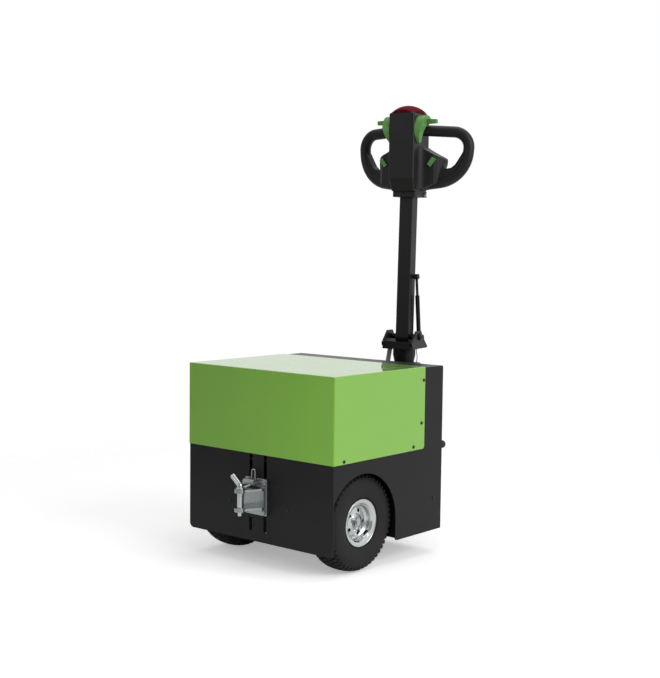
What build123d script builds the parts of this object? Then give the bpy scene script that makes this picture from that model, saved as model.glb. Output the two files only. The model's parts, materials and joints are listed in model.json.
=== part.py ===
"""Electric tow tractor, walked behind: the solid pieces of the assembly.

Lengths are in millimetres. Z is up, the hitch looks to -Y and the driver walks at +Y.
Pieces are drawn with Y = 0 on the front plate and moved to the shared frame on export.
The tiller, the yoke and the fork are drawn straight and then turned by REST_YAW.
"""
import os
from math import cos, radians, sin, sqrt, tan

from build123d import *

# Drive wheels
TYRE_R = 130.0
TYRE_HALF = 45.0
HOOD_W = 526.0
WHEEL_X = HOOD_W / 2 - 61.0
WHEEL_GAP = 5.0
RIM_SEAT = 50.0
RIM_FLANGE_R = 63.0
RIM_EDGE = 37.0
RIM_SHEET = 3.0
RIM_DISC = 17.0
RIM_CONE = 4.0
RIM_HUB_R = 21.0
RIM_HUB_IN = 22.0
RIM_HUB_OUT = 16.0
RIM_HOLES = 5
RIM_HOLE_R = 5.0
BEAD_FIT = 0.1
AXLE_R = 15.0
AXLE_FIT = 0.05
NUT_R = 13.0
NUT_T = 8.5
WASHER_R = 18.0
WASHER_T = 2.5
TUBE_R = 26.0

# Body sizes
HOOD_SHEET = 2.0
HOOD_FIT = 0.3
HOOD_TOP = 525.0
HOOD_EDGE = 300.0
HOOD_REAR = 381.0
HOOD_BEND = 3.0
SHEET = 3.0
BODY_HALF = HOOD_W / 2 - HOOD_SHEET - HOOD_FIT
BODY_IN = BODY_HALF - SHEET
BODY_L = 468.0
BODY_BOTTOM = 65.0
COVER_TOP = HOOD_TOP - HOOD_SHEET - HOOD_FIT
LAP = 25.0
COLUMN_FRONT = HOOD_REAR - 36.0
PLATE_CORNER = 14.0
SLOT_X = 26.0
SLOT_W = 11.0
SLOT_Z = (92.0, HOOD_EDGE + 12.0)
WHEEL_Y = SHEET + WHEEL_GAP + 1.0 + TYRE_R
DECK_Z = 2 * TYRE_R + 23.0
BOX_X = WHEEL_X - TYRE_HALF - WHEEL_GAP - SHEET
BOX_REAR = WHEEL_Y + TYRE_R + 14.0
ARCH_Y = WHEEL_Y - 18.0
ARCH_Z = TYRE_R - 4.0
ARCH_R = TYRE_R + 9.0
ARCH_FOOT = 8.0
BUFFER_R = 11.0
BUFFER_L = 26.0
BUFFER_EDGE = 14.0
BUFFER_Z = HOOD_EDGE - 2.0

# Batteries, transaxle and motor
BATTERY_HALF = 165.0
BATTERY_ROOM = 23.0
CASE_R = 60.0
CASE_HALF = 45.0
CASE_REACH = 67.0
MOTOR_R = 50.0
MOTOR_L = 166.0
MOTOR_UP = 8.0

# Steering, yoke and fork
STEER_REACH = 166.0
STEER_Y = BODY_L + STEER_REACH
REST_YAW = 12.0
STEM_R = 20.0
STEM_FIT = 0.05
HEAD_TUBE_R = 35.0
HEAD_TUBE_LOW = 300.0
HEAD_TUBE_TOP = 491.5
FLANGE_R = 50.0
FLANGE_Z = (HEAD_TUBE_TOP + 0.5, HEAD_TUBE_TOP + 8.5)
BARREL_R = 34.0
BARREL_FOOT_R = 30.0
BARREL_H = 45.0
BARREL_TOP = FLANGE_Z[1] + BARREL_H
YOKE_HALF = 50.0
YOKE_V = (-54.0, 60.0)
YOKE_T = 8.0
CHEEK_T = 6.0
CHEEK_H = 53.0
TILT_Z = BARREL_TOP + 35.0
TILT_PIN_R = 8.0
STEER_TYRE_R = 100.0
STEER_TYRE_HALF = 25.0
STEER_HUB_R = 74.0
STEER_AXLE_R = 10.0
LEG_IN = STEER_TYRE_HALF + 9.0
LEG_T = 8.0
LEG_HALF = 30.0
LEG_EYE = 22.0
CROWN_Z = (HEAD_TUBE_LOW - 38.0, HEAD_TUBE_LOW - 23.0)

# Tiller and its head
TUBE_SIDE = 42.0
TUBE_LEAN = 2.1
TUBE_TOP = TILT_Z + 417.0
COLLAR_TOP = TUBE_TOP + 17.0
WAIST_Z = COLLAR_TOP + 36.0
HOUSING_HALF = 41.0
HOUSING_V = (-47.0, 68.0)
HOUSING_TOP = COLLAR_TOP + 229.0
HEAD_TOP = HOUSING_TOP + 24.0
DOME_V = (HOUSING_V[0] + 1.0, HOUSING_V[1] - 4.0)
DOME_HALF = HOUSING_HALF - 1.0
DOME_SPLIT = 30.0
SHOULDER_V = (0.0, 62.0)
BAR_Z = COLLAR_TOP + 181.0
LOOP_R = 15.5
LOOP_SWEEP = 17.0
LOOP_V = 10.0
LEVER_T = 24.0
TAB_END = HOUSING_HALF + 56.0
KEY_U = HOUSING_HALF + 37.0
KEY_Z = COLLAR_TOP + 86.0
KEY = (12.0, 16.0, 26.0)

# Gas spring at the tiller's foot
SPRING_U = 31.5
SPRING_LOW = (36.0, TILT_Z - 4.0)
SPRING_HIGH = (12.0, TILT_Z + 180.0)
SPRING_R = 6.5
SPRING_BODY = 128.0
SPRING_SOLID = 16.0
ROD_R = 4.0
EYE_R = 8.0

# Hitch
PIN_Y = -67.0
PIN_R = 7.5
PIN_FIT = 0.05
PIN_STEP = 156.0
PIN_END = PIN_STEP - 10.0
PIN_TIP_R = 6.0
JAW_T = 10.0
JAW_PLATE = 6.0
JAW_LOW = 157.0
JAW_HIGH = 207.0
JAW_EYE = 15.0
JAW_ROOT = 36.0
HITCH_HALF = 40.0
HITCH_Z = (140.0, 238.0)
HITCH_T = 8.0
COIL_R = 9.0
WIRE_R = 2.0

nodes = {}


def block(x, y, z):
    """Box between pairs of coordinates."""
    size = (x[1] - x[0], y[1] - y[0], z[1] - z[0])
    middle = ((x[0] + x[1]) / 2, (y[0] + y[1]) / 2, (z[0] + z[1]) / 2)
    return Pos(*middle) * Box(*size)


def rod(axis, start, end, radius, at):
    """Round bar along X, Y or Z from start to end; at gives the other two coordinates."""
    directions = {"x": (1, 0, 0), "y": (0, 1, 0), "z": (0, 0, 1)}
    bases = {
        "x": (start, at[0], at[1]),
        "y": (at[0], start, at[1]),
        "z": (at[0], at[1], start),
    }
    plane = Plane(origin=bases[axis], z_dir=directions[axis])
    return extrude(plane * Circle(radius), amount=end - start)


def prism(points, direction, length):
    """Straight-sided solid from a closed outline of 3-D points."""
    face = make_face(Polyline(*points, close=True))
    return extrude(face, amount=length, dir=direction)


def prism_x(outline, start, end):
    """Outline of (y, z) points drawn out along X."""
    return prism([(start, y, z) for y, z in outline], (1, 0, 0), end - start)


def prism_y(outline, start, end):
    """Outline of (x, z) points drawn out along Y."""
    return prism([(x, start, z) for x, z in outline], (0, 1, 0), end - start)


def prism_z(outline, start, end):
    """Outline of (x, y) points drawn out along Z."""
    return prism([(x, y, start) for x, y in outline], (0, 0, 1), end - start)


def turned(outline, centre, at):
    """Ring turned about the X direction from (axial, radius) points."""
    points = [(centre + a, at[0], at[1] + r) for a, r in outline]
    face = make_face(Polyline(*points, close=True))
    return revolve(face, Axis((0, at[0], at[1]), (1, 0, 0)), 360)


def turned_z(outline, at):
    """Ring turned about the Z direction from (radius, z) points."""
    points = [(at[0] + r, at[1], z) for r, z in outline]
    face = make_face(Polyline(*points, close=True))
    return revolve(face, Axis((at[0], at[1], 0), (0, 0, 1)), 360)


def bar(points, radius, bends):
    """Round bar along straight runs, with a bend radius for each inner corner."""
    corners = [Vector(*point) for point in points]
    edges = []
    start = corners[0]
    for before, corner, after, bend in zip(corners, corners[1:], corners[2:], bends):
        back = (before - corner).normalized()
        ahead = (after - corner).normalized()
        half_angle = radians(back.get_angle(ahead) / 2)
        setback = bend / tan(half_angle)
        to_arc = (back + ahead).normalized() * (bend / sin(half_angle) - bend)
        edges.append(Line(start, corner + back * setback))
        edges.append(ThreePointArc(corner + back * setback, corner + to_arc, corner + ahead * setback))
        start = corner + ahead * setback
    edges.append(Line(start, corners[-1]))
    path = Wire(edges)
    section = Plane(origin=path @ 0, z_dir=path % 0) * Circle(radius)
    return sweep(section, path=path)


def at_edges(solid, axis, tests):
    """Edges along an axis whose centres lie on one of the (x, y, z) tests; None matches any."""
    found = []
    for edge in solid.edges().filter_by(axis):
        middle = edge.center()
        values = (middle.X, middle.Y, middle.Z)
        for test in tests:
            if all(t is None or abs(v - t) < 0.05 for v, t in zip(values, test)):
                found.append(edge)
                break
    return found


def add(name, solid):
    """Keep a piece of the fixed frame, the hitch or the drive wheels."""
    nodes[name] = solid


def add_steered(name, solid):
    """Keep a piece drawn about the steering axis, turned to its rest yaw."""
    nodes[name] = Pos(0, STEER_Y, 0) * Rot(0, 0, REST_YAW) * solid


# Hood, one folded sheet open below and behind
outer = block((-HOOD_W / 2, HOOD_W / 2), (-HOOD_SHEET - HOOD_FIT, HOOD_REAR), (HOOD_EDGE, HOOD_TOP))
front_y = -HOOD_SHEET - HOOD_FIT
outer = fillet(at_edges(outer, Axis.Y, [(-HOOD_W / 2, None, HOOD_TOP), (HOOD_W / 2, None, HOOD_TOP)])
               + at_edges(outer, Axis.X, [(None, front_y, HOOD_TOP)])
               + at_edges(outer, Axis.Z, [(-HOOD_W / 2, front_y, None), (HOOD_W / 2, front_y, None)]),
               HOOD_BEND)
hood_in = HOOD_W / 2 - HOOD_SHEET
inner = block((-hood_in, hood_in), (-HOOD_FIT, HOOD_REAR + 20), (HOOD_EDGE - 20, HOOD_TOP - HOOD_SHEET))
hood = outer - inner
hood = fillet(at_edges(hood, Axis.X, [(None, HOOD_REAR, HOOD_EDGE)]), 8.0)
add("hood", hood)

# Front plate with the two height slots of the hitch
front = block((-BODY_HALF, BODY_HALF), (0, SHEET), (BODY_BOTTOM, HOOD_EDGE + LAP))
front = fillet(at_edges(front, Axis.Y, [(-BODY_HALF, None, BODY_BOTTOM), (BODY_HALF, None, BODY_BOTTOM)]),
               PLATE_CORNER)
for side in (-1, 1):
    x = side * SLOT_X
    slot = block((x - SLOT_W / 2, x + SLOT_W / 2), (-5, SHEET + 5),
                 (SLOT_Z[0] + SLOT_W / 2, SLOT_Z[1] - SLOT_W / 2))
    for z in (SLOT_Z[0] + SLOT_W / 2, SLOT_Z[1] - SLOT_W / 2):
        slot = slot + rod("y", -5, SHEET + 5, SLOT_W / 2, (x, z))
    front = front - slot
add("front_plate", front)

# Side plates, cut open around the drive wheels
plate_end = BODY_L - SHEET
plate_top = COVER_TOP - SHEET
arch_front_z = ARCH_Z + sqrt(ARCH_R ** 2 - (ARCH_Y - SHEET) ** 2)
arch_rear = ARCH_Y + ARCH_R
half_turn = ARCH_R * sqrt(0.5)
for side, name in ((-1, "left"), (1, "right")):
    x = BODY_HALF if side > 0 else -BODY_IN
    foot = (arch_rear + ARCH_FOOT, BODY_BOTTOM)
    step = ARCH_FOOT * (1 - sqrt(0.5))
    edges = [
        Line((x, SHEET, arch_front_z), (x, SHEET, HOOD_EDGE + LAP)),
        Line((x, SHEET, HOOD_EDGE + LAP), (x, COLUMN_FRONT, HOOD_EDGE + LAP)),
        Line((x, COLUMN_FRONT, HOOD_EDGE + LAP), (x, COLUMN_FRONT, plate_top)),
        Line((x, COLUMN_FRONT, plate_top), (x, plate_end - 4, plate_top)),
        Line((x, plate_end - 4, plate_top), (x, plate_end, plate_top - 4)),
        Line((x, plate_end, plate_top - 4), (x, plate_end, BODY_BOTTOM)),
        Line((x, plate_end, BODY_BOTTOM), (x, foot[0], foot[1])),
        ThreePointArc((x, foot[0], foot[1]), (x, arch_rear + step, BODY_BOTTOM + step),
                      (x, arch_rear, BODY_BOTTOM + ARCH_FOOT)),
        Line((x, arch_rear, BODY_BOTTOM + ARCH_FOOT), (x, arch_rear, ARCH_Z)),
        ThreePointArc((x, arch_rear, ARCH_Z), (x, ARCH_Y + half_turn, ARCH_Z + half_turn),
                      (x, SHEET, arch_front_z)),
    ]
    add("side_plate_" + name, extrude(make_face(edges), amount=SHEET, dir=(-1, 0, 0)))

# Rear cover, folded from the rear panel over the top of the column
cover = block((-BODY_HALF, BODY_HALF), (COLUMN_FRONT, BODY_L), (BODY_BOTTOM, COVER_TOP))
cover = fillet(at_edges(cover, Axis.X, [(None, BODY_L, COVER_TOP)]), 6.0)
hollow = block((-BODY_HALF - 5, BODY_HALF + 5), (COLUMN_FRONT - 5, BODY_L - SHEET),
               (BODY_BOTTOM - 5, COVER_TOP - SHEET))
hollow = fillet(at_edges(hollow, Axis.X, [(None, BODY_L - SHEET, COVER_TOP - SHEET)]), 3.0)
add("rear_cover", cover - hollow)

# Deck under the batteries, floor behind the wheels, and the inner wheel boxes
add("deck_plate", block((-BODY_IN, BODY_IN), (SHEET, plate_end), (DECK_Z, DECK_Z + SHEET)))
floor_z = (BODY_BOTTOM, BODY_BOTTOM + SHEET)
add("floor_plate", block((-BODY_IN, BODY_IN), (BOX_REAR + SHEET, plate_end), floor_z))
for side, name in ((-1, "left"), (1, "right")):
    wall_x = sorted((side * BOX_X, side * (BOX_X + SHEET)))
    wall = block(wall_x, (SHEET, BOX_REAR + SHEET), (BODY_BOTTOM, DECK_Z))
    back = block(sorted((side * BOX_X, side * BODY_IN)), (BOX_REAR, BOX_REAR + SHEET), (BODY_BOTTOM, DECK_Z))
    hole = rod("x", side * BOX_X - 10, side * BOX_X + 10, TUBE_R + 1, (WHEEL_Y, TYRE_R))
    add("wheel_box_" + name, wall + back - hole)

# Battery pair as one block, transaxle and drive motor
deck_top = DECK_Z + SHEET
battery_top = HOOD_TOP - HOOD_SHEET - BATTERY_ROOM
battery_y = (SHEET + 9, HOOD_REAR - 25)
add("battery_block", block((-BATTERY_HALF, BATTERY_HALF), battery_y, (deck_top, battery_top)))
tube_end = WHEEL_X - RIM_HUB_IN - 8
motor_front = WHEEL_Y + CASE_REACH
case = rod("x", -CASE_HALF, CASE_HALF, CASE_R, (WHEEL_Y, TYRE_R))
case = case + block((-MOTOR_R, MOTOR_R), (WHEEL_Y, motor_front), (TYRE_R - CASE_HALF, TYRE_R + CASE_R))
for side in (-1, 1):
    ends = sorted((side * (CASE_HALF - 5), side * tube_end))
    case = case + rod("x", ends[0], ends[1], TUBE_R, (WHEEL_Y, TYRE_R))
    ends = sorted((side * (BOX_X - 8), side * BOX_X))
    case = case + rod("x", ends[0], ends[1], TUBE_R + 18, (WHEEL_Y, TYRE_R))
for side in (-1, 1):
    ends = sorted((side * CASE_R, side * (tube_end + 5)))
    case = case - rod("x", ends[0], ends[1], AXLE_R + AXLE_FIT, (WHEEL_Y, TYRE_R))
add("transaxle_housing", case)
motor_at = (0, TYRE_R + MOTOR_UP)
motor_rear = motor_front + MOTOR_L
motor = rod("y", motor_front, motor_rear, MOTOR_R - 3, motor_at)
for y in (motor_front, motor_rear - 22):
    motor = motor + rod("y", y, y + 22, MOTOR_R, motor_at)
motor = motor + rod("y", motor_rear, motor_rear + 16, MOTOR_R - 12, motor_at)
motor_top = motor_at[1] + MOTOR_R
motor = motor + block((-24, 24), (motor_front + 40, motor_front + 100), (motor_top - 10, motor_top + 12))
add("drive_motor", motor)

# Drive wheels: the bead line is shared by the tyre and the rim, as (axial, radius) points
BEAD = (
    (RIM_EDGE - 6, RIM_SEAT), (RIM_EDGE - 4, RIM_SEAT + 1.5),
    (RIM_EDGE - RIM_SHEET + 0.3, RIM_SEAT + 6), (RIM_EDGE - RIM_SHEET + 0.3, RIM_FLANGE_R),
)
side_r = (TYRE_R + RIM_FLANGE_R) / 2
tyre_half = [(a - BEAD_FIT, r) for a, r in BEAD] + [
    (RIM_EDGE - RIM_SHEET + 0.2, RIM_FLANGE_R + 0.3), (TYRE_HALF - 4.0, RIM_FLANGE_R + 5),
    (TYRE_HALF - 1.0, side_r - 15), (TYRE_HALF, side_r - 2), (TYRE_HALF - 1.2, TYRE_R - 25),
    (TYRE_HALF - 4.0, TYRE_R - 17), (TYRE_HALF - 8.5, TYRE_R - 10), (TYRE_HALF - 15.0, TYRE_R - 5),
    (TYRE_HALF - 27.0, TYRE_R - 1.5),
]
tyre_outline = [(0, RIM_SEAT)] + tyre_half + [(0, TYRE_R)] + [(-a, r) for a, r in reversed(tyre_half)]
well_r = RIM_SEAT - RIM_SHEET
rim_outline = [(-a, r) for a, r in reversed(BEAD)] + list(BEAD) + [
    (RIM_EDGE, RIM_FLANGE_R), (RIM_EDGE + 0.6, RIM_FLANGE_R - 3), (RIM_EDGE, RIM_FLANGE_R - 7),
    (RIM_EDGE - 1.6, RIM_SEAT + 1.5), (RIM_EDGE - 6, well_r + 0.5), (RIM_DISC + 9, well_r - 1),
    (RIM_DISC + 4, well_r - 3), (RIM_DISC, well_r - 8), (RIM_DISC + RIM_CONE, RIM_HUB_R + 3),
    (RIM_DISC + RIM_CONE + 3, RIM_HUB_R),
    (RIM_HUB_OUT, RIM_HUB_R), (RIM_HUB_OUT, AXLE_R + 0.02), (-RIM_HUB_IN, AXLE_R + 0.02),
    (-RIM_HUB_IN, RIM_HUB_R), (RIM_DISC - 5, RIM_HUB_R), (RIM_DISC - 5, well_r - 5),
    (RIM_DISC - 11, well_r - 1),
    (-RIM_EDGE + 6, well_r + 0.5), (-RIM_EDGE + 1.6, RIM_SEAT + 1.5), (-RIM_EDGE, RIM_FLANGE_R - 7),
    (-RIM_EDGE - 0.6, RIM_FLANGE_R - 3), (-RIM_EDGE, RIM_FLANGE_R),
]
hole_ring = (RIM_HUB_R + well_r - 8) / 2 + 1.5
for side, name in ((-1, "left"), (1, "right")):
    place = (WHEEL_Y, TYRE_R)
    centre = side * WHEEL_X
    add("drive_tyre_" + name, turned([(side * a, r) for a, r in tyre_outline], centre, place))
    rim = turned([(side * a, r) for a, r in rim_outline], centre, place)
    for turn in range(RIM_HOLES):
        angle = radians(360 * turn / RIM_HOLES + 20)
        at = (WHEEL_Y + hole_ring * sin(angle), TYRE_R + hole_ring * cos(angle))
        ends = sorted((centre + side * (RIM_DISC - 12), centre + side * (RIM_DISC + 6)))
        rim = rim - rod("x", ends[0], ends[1], RIM_HOLE_R, at)
    add("drive_rim_" + name, rim)
    shaft_ends = sorted((side * (CASE_R + 12), centre + side * RIM_HUB_OUT))
    shaft = rod("x", shaft_ends[0], shaft_ends[1], AXLE_R, place)
    washer_ends = sorted((centre + side * RIM_HUB_OUT, centre + side * (RIM_HUB_OUT + WASHER_T)))
    shaft = shaft + rod("x", washer_ends[0], washer_ends[1], WASHER_R, place)
    nut_foot = RIM_HUB_OUT + WASHER_T
    nut_ends = sorted((centre + side * nut_foot, centre + side * (nut_foot + NUT_T)))
    nut_plane = Plane(origin=(nut_ends[0], place[0], place[1]), z_dir=(1, 0, 0))
    shaft = shaft + extrude(nut_plane * RegularPolygon(NUT_R, 6), amount=NUT_T)
    end = nut_ends[1] if side > 0 else nut_ends[0]
    stub_ends = sorted((end - side, end + side * 3))
    add("drive_axle_" + name, shaft + rod("x", stub_ends[0], stub_ends[1], NUT_R * 0.6, place))

# Steering bracket on the rear cover, with the head tube
bracket_half = HEAD_TUBE_R + 50
bracket = block((-bracket_half, bracket_half), (BODY_L, BODY_L + 8), (HEAD_TUBE_LOW - 30, HEAD_TUBE_TOP - 21))
bracket = fillet(bracket.edges().filter_by(Axis.Y), 10)
gusset_low = HEAD_TUBE_LOW + 22
gusset_high = HEAD_TUBE_TOP - 39
for z in (gusset_low, gusset_high):
    bracket = bracket + prism_z([(-bracket_half + 10, BODY_L + 4), (bracket_half - 10, BODY_L + 4),
                                 (HEAD_TUBE_R, STEER_Y), (-HEAD_TUBE_R, STEER_Y)], z, z + 10)
bracket = bracket + block((-5, 5), (BODY_L + 4, STEER_Y), (gusset_low + 4, gusset_high + 6))
bracket = bracket + rod("z", HEAD_TUBE_LOW, HEAD_TUBE_TOP, HEAD_TUBE_R, (0, STEER_Y))
bracket = bracket - rod("z", HEAD_TUBE_LOW - 5, HEAD_TUBE_TOP + 5, STEM_R + STEM_FIT, (0, STEER_Y))
add("steering_bracket", bracket)

# Rubber buffers at the rear corners
buffers = []
for side in (-1, 1):
    buffer = rod("y", BODY_L, BODY_L + BUFFER_L, BUFFER_R, (side * (BODY_HALF - BUFFER_EDGE), BUFFER_Z))
    buffers.append(fillet(buffer.faces().sort_by(Axis.Y)[-1].edges(), BUFFER_R * 0.45))
add("rear_buffers", Compound(children=buffers))

# Fork, its axle and the steered wheel, drawn about the steering axis
leg_out = LEG_IN + LEG_T
fork = block((-leg_out, leg_out), (-LEG_HALF, LEG_HALF), CROWN_Z)
fork = fork + rod("z", CROWN_Z[1] - 1, HEAD_TUBE_LOW - 0.5, LEG_HALF, (0, 0))
fork = fork + rod("z", CROWN_Z[1] - 1, FLANGE_Z[0], STEM_R, (0, 0))
for side in (-1, 1):
    ends = sorted((side * LEG_IN, side * leg_out))
    leg_waist = CROWN_Z[0] - 32
    leg = prism_x([(-LEG_HALF, CROWN_Z[1]), (LEG_HALF, CROWN_Z[1]), (LEG_HALF, leg_waist),
                   (LEG_EYE, STEER_TYRE_R), (-LEG_EYE, STEER_TYRE_R), (-LEG_HALF, leg_waist)],
                  ends[0], ends[1])
    leg = leg + rod("x", ends[0], ends[1], LEG_EYE, (0, STEER_TYRE_R))
    fork = fork + leg
fork = fork - rod("x", -leg_out - 5, leg_out + 5, STEER_AXLE_R + 0.03, (0, STEER_TYRE_R))
add_steered("steer_fork", fork)
axle = rod("x", -leg_out, leg_out, STEER_AXLE_R, (0, STEER_TYRE_R))
for side in (-1, 1):
    start = leg_out if side > 0 else -leg_out - 9
    head_plane = Plane(origin=(start, 0, STEER_TYRE_R), z_dir=(1, 0, 0))
    axle = axle + extrude(head_plane * RegularPolygon(STEER_AXLE_R * 1.7, 6), amount=9)
add_steered("steer_axle", axle)
steer_half = [
    (STEER_TYRE_HALF, STEER_HUB_R), (STEER_TYRE_HALF, STEER_TYRE_R - 8),
    (STEER_TYRE_HALF - 1, STEER_TYRE_R - 5), (STEER_TYRE_HALF - 4, STEER_TYRE_R - 2),
    (STEER_TYRE_HALF - 9, STEER_TYRE_R),
]
steer_outline = steer_half + [(-a, r) for a, r in reversed(steer_half)]
add_steered("steer_tyre", turned(steer_outline, 0, (0, STEER_TYRE_R)))
hub_r = STEER_AXLE_R + 14
hub_half = [
    (STEER_TYRE_HALF - 3, STEER_HUB_R), (STEER_TYRE_HALF - 5, STEER_HUB_R - 8),
    (9, STEER_HUB_R - 12), (9, hub_r + 2), (LEG_IN - 7, hub_r), (LEG_IN - 7, STEER_AXLE_R + 0.05),
]
hub_outline = hub_half + [(-a, r) for a, r in reversed(hub_half)]
add_steered("steer_hub", turned(hub_outline, 0, (0, STEER_TYRE_R)))

# Yoke: flange, tapered barrel, base plate, front lip, two cheeks and the lug of the gas spring
yoke = rod("z", FLANGE_Z[0], FLANGE_Z[1], FLANGE_R, (0, 0))
barrel_outline = [
    (0, FLANGE_Z[1] - 1), (BARREL_FOOT_R, FLANGE_Z[1] - 1), (BARREL_FOOT_R, FLANGE_Z[1] + 6),
    (BARREL_R, FLANGE_Z[1] + 24), (BARREL_R, BARREL_TOP + 1), (0, BARREL_TOP + 1),
]
yoke = yoke + turned_z(barrel_outline, (0, 0))
base = block((-YOKE_HALF, YOKE_HALF), YOKE_V, (BARREL_TOP, BARREL_TOP + YOKE_T))
base = fillet(base.edges().filter_by(Axis.Z), 8)
yoke = yoke + base
cheek_in = YOKE_HALF - CHEEK_T
CHEEK = ((-42, 2), (-53, 11), (-55, 18), (-20, CHEEK_H), (12, CHEEK_H), (25, CHEEK_H - 19), (58, 5), (56, 2))
for side in (-1, 1):
    ends = sorted((side * cheek_in, side * YOKE_HALF))
    yoke = yoke + prism_x([(v, BARREL_TOP + z) for v, z in CHEEK], ends[0], ends[1])
lip_v = YOKE_V[0] + 4
yoke = yoke + block((-cheek_in - 1, cheek_in + 1), (lip_v, lip_v + 6), (BARREL_TOP + 4, BARREL_TOP + 22))
lug_u = SPRING_U + SPRING_R + 1
low_v, low_z = SPRING_LOW
lug_foot = BARREL_TOP + 4
yoke = yoke + prism_x([(low_v - 9, lug_foot), (low_v + 12, lug_foot), (low_v + 9, low_z),
                       (low_v - 9, low_z)], lug_u, cheek_in + 1)
yoke = yoke + rod("x", lug_u, cheek_in + 1, 9, SPRING_LOW)
yoke = yoke + rod("x", SPRING_U + SPRING_R + 0.2, lug_u + 1, 6, SPRING_LOW)
yoke = yoke - rod("x", -YOKE_HALF - 20, YOKE_HALF + 20, TILT_PIN_R + 0.03, (0, TILT_Z))
add_steered("tiller_yoke", yoke)
pin = rod("x", -YOKE_HALF, YOKE_HALF, TILT_PIN_R, (0, TILT_Z))
for side in (-1, 1):
    ends = sorted((side * YOKE_HALF, side * (YOKE_HALF + 4)))
    pin = pin + rod("x", ends[0], ends[1], TILT_PIN_R + 3, (0, TILT_Z))
add_steered("tilt_pin", pin)
conduit = bar([(-41, -22, FLANGE_Z[1] - 4), (-36, -44, BARREL_TOP + 4)], 6.5, [])
conduit = conduit & block((-70, 70), (-70, 70), (FLANGE_Z[1], BARREL_TOP))
add_steered("cable_conduit", conduit)

# Gas spring: barrel on the yoke, rod towards the column
high_v, high_z = SPRING_HIGH
span = sqrt((high_v - low_v) ** 2 + (high_z - low_z) ** 2)
way = ((high_v - low_v) / span, (high_z - low_z) / span)


def along(distance):
    """Point on the gas spring's line at a distance from its lower eye."""
    return (SPRING_U, low_v + way[0] * distance, low_z + way[1] * distance)


eye_ends = (SPRING_U - SPRING_R + 0.5, SPRING_U + SPRING_R - 0.3)
line = (0, way[0], way[1])
barrel = extrude(Plane(origin=along(0), z_dir=line) * Circle(SPRING_R), amount=SPRING_BODY)
barrel = barrel + rod("x", eye_ends[0], eye_ends[1], EYE_R, SPRING_LOW)
bore = Plane(origin=along(SPRING_SOLID), z_dir=line) * Circle(ROD_R + 0.05)
barrel = barrel - extrude(bore, amount=SPRING_BODY)
add_steered("spring_barrel", barrel)
rod_end = Plane(origin=along(SPRING_BODY - 8), z_dir=line) * Circle(ROD_R)
rod_bar = extrude(rod_end, amount=span - SPRING_BODY + 8)
rod_bar = rod_bar + rod("x", eye_ends[0], eye_ends[1], EYE_R, SPRING_HIGH)
add_steered("spring_rod", rod_bar)

# Tiller column with its rounded foot and the stud of the gas spring
half = TUBE_SIDE / 2
column = block((-half, half), (-half, half), (0, TUBE_TOP - TILT_Z + TUBE_SIDE))
column = fillet(column.edges().filter_by(Axis.Z), 4)
column = Pos(0, 0, TILT_Z) * Rot(-TUBE_LEAN, 0, 0) * column
column = column & block((-TUBE_SIDE, TUBE_SIDE), (-TUBE_SIDE, 2 * TUBE_SIDE), (TILT_Z - half, TUBE_TOP))
column = column + rod("x", -half, half, half, (0, TILT_Z))
column = column - rod("x", -half - 5, half + 5, TILT_PIN_R + 0.05, (0, TILT_Z))
column = column + rod("x", half - 1, SPRING_U - SPRING_R + 0.2, 6, SPRING_HIGH)
add_steered("tiller_column", column)

# Tiller head: collar, moulded housing with shoulders, loops and controls
collar_v = (HOUSING_V[0] + 25, HOUSING_V[1] - 1)
collar = block((-HOUSING_HALF + 4, HOUSING_HALF - 4), collar_v, (TUBE_TOP, COLLAR_TOP))
collar = fillet(collar.edges().filter_by(Axis.Z), 5)
add_steered("head_collar", collar)


def section(z, half_u, v, corner):
    """Rounded rectangle across the head at a height."""
    plane = Plane(origin=(0, (v[0] + v[1]) / 2, z))
    return plane * RectangleRounded(2 * half_u, v[1] - v[0], corner)


# Head sections from the foot up: height, half width, depth range, corner radius
foot = section(COLLAR_TOP, HOUSING_HALF - 4, (HOUSING_V[0] + 15, HOUSING_V[1] - 5), 7)
waist = section(WAIST_Z, HOUSING_HALF, HOUSING_V, 7)
housing = loft([foot, waist], ruled=True)
tower = extrude(waist, amount=HOUSING_TOP - WAIST_Z)
tower = fillet(tower.faces().sort_by(Axis.Z)[-1].edges(), 5)
housing = housing + tower
# Domed top: an arc across and an arc along; its front is the red button, its back a cap of the housing
dome_middle = (DOME_V[0] + DOME_V[1]) / 2
dome_plan = section(HOUSING_TOP - 6, DOME_HALF, DOME_V, 12)
dome = extrude(dome_plan, amount=HEAD_TOP - HOUSING_TOP + 6)
DOME_ARC_U = 66.0
DOME_ARC_V = 100.0
dome_drop = DOME_ARC_U - sqrt(DOME_ARC_U ** 2 - HOUSING_HALF ** 2)
crown_ends = [(-HOUSING_HALF, 0, DOME_ARC_V - dome_drop), (HOUSING_HALF, 0, DOME_ARC_V - dome_drop)]
crown_outline = [
    ThreePointArc(crown_ends[0], (0, 0, DOME_ARC_V), crown_ends[1]),
    Line(crown_ends[1], (HOUSING_HALF, 0, 0)),
    Line((HOUSING_HALF, 0, 0), (-HOUSING_HALF, 0, 0)), Line((-HOUSING_HALF, 0, 0), crown_ends[0]),
]
crown = revolve(make_face(crown_outline), Axis.X)
dome = dome & (Pos(0, dome_middle - 1, HEAD_TOP - DOME_ARC_V) * crown)
head_u = (-HOUSING_HALF, HOUSING_HALF)
cap = dome & block(head_u, (DOME_SPLIT, HOUSING_V[1]), (HOUSING_TOP - 6, HEAD_TOP))
housing = housing + cap
button = dome & block(head_u, (HOUSING_V[0], DOME_SPLIT - 1), (HOUSING_TOP, HEAD_TOP))

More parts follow.
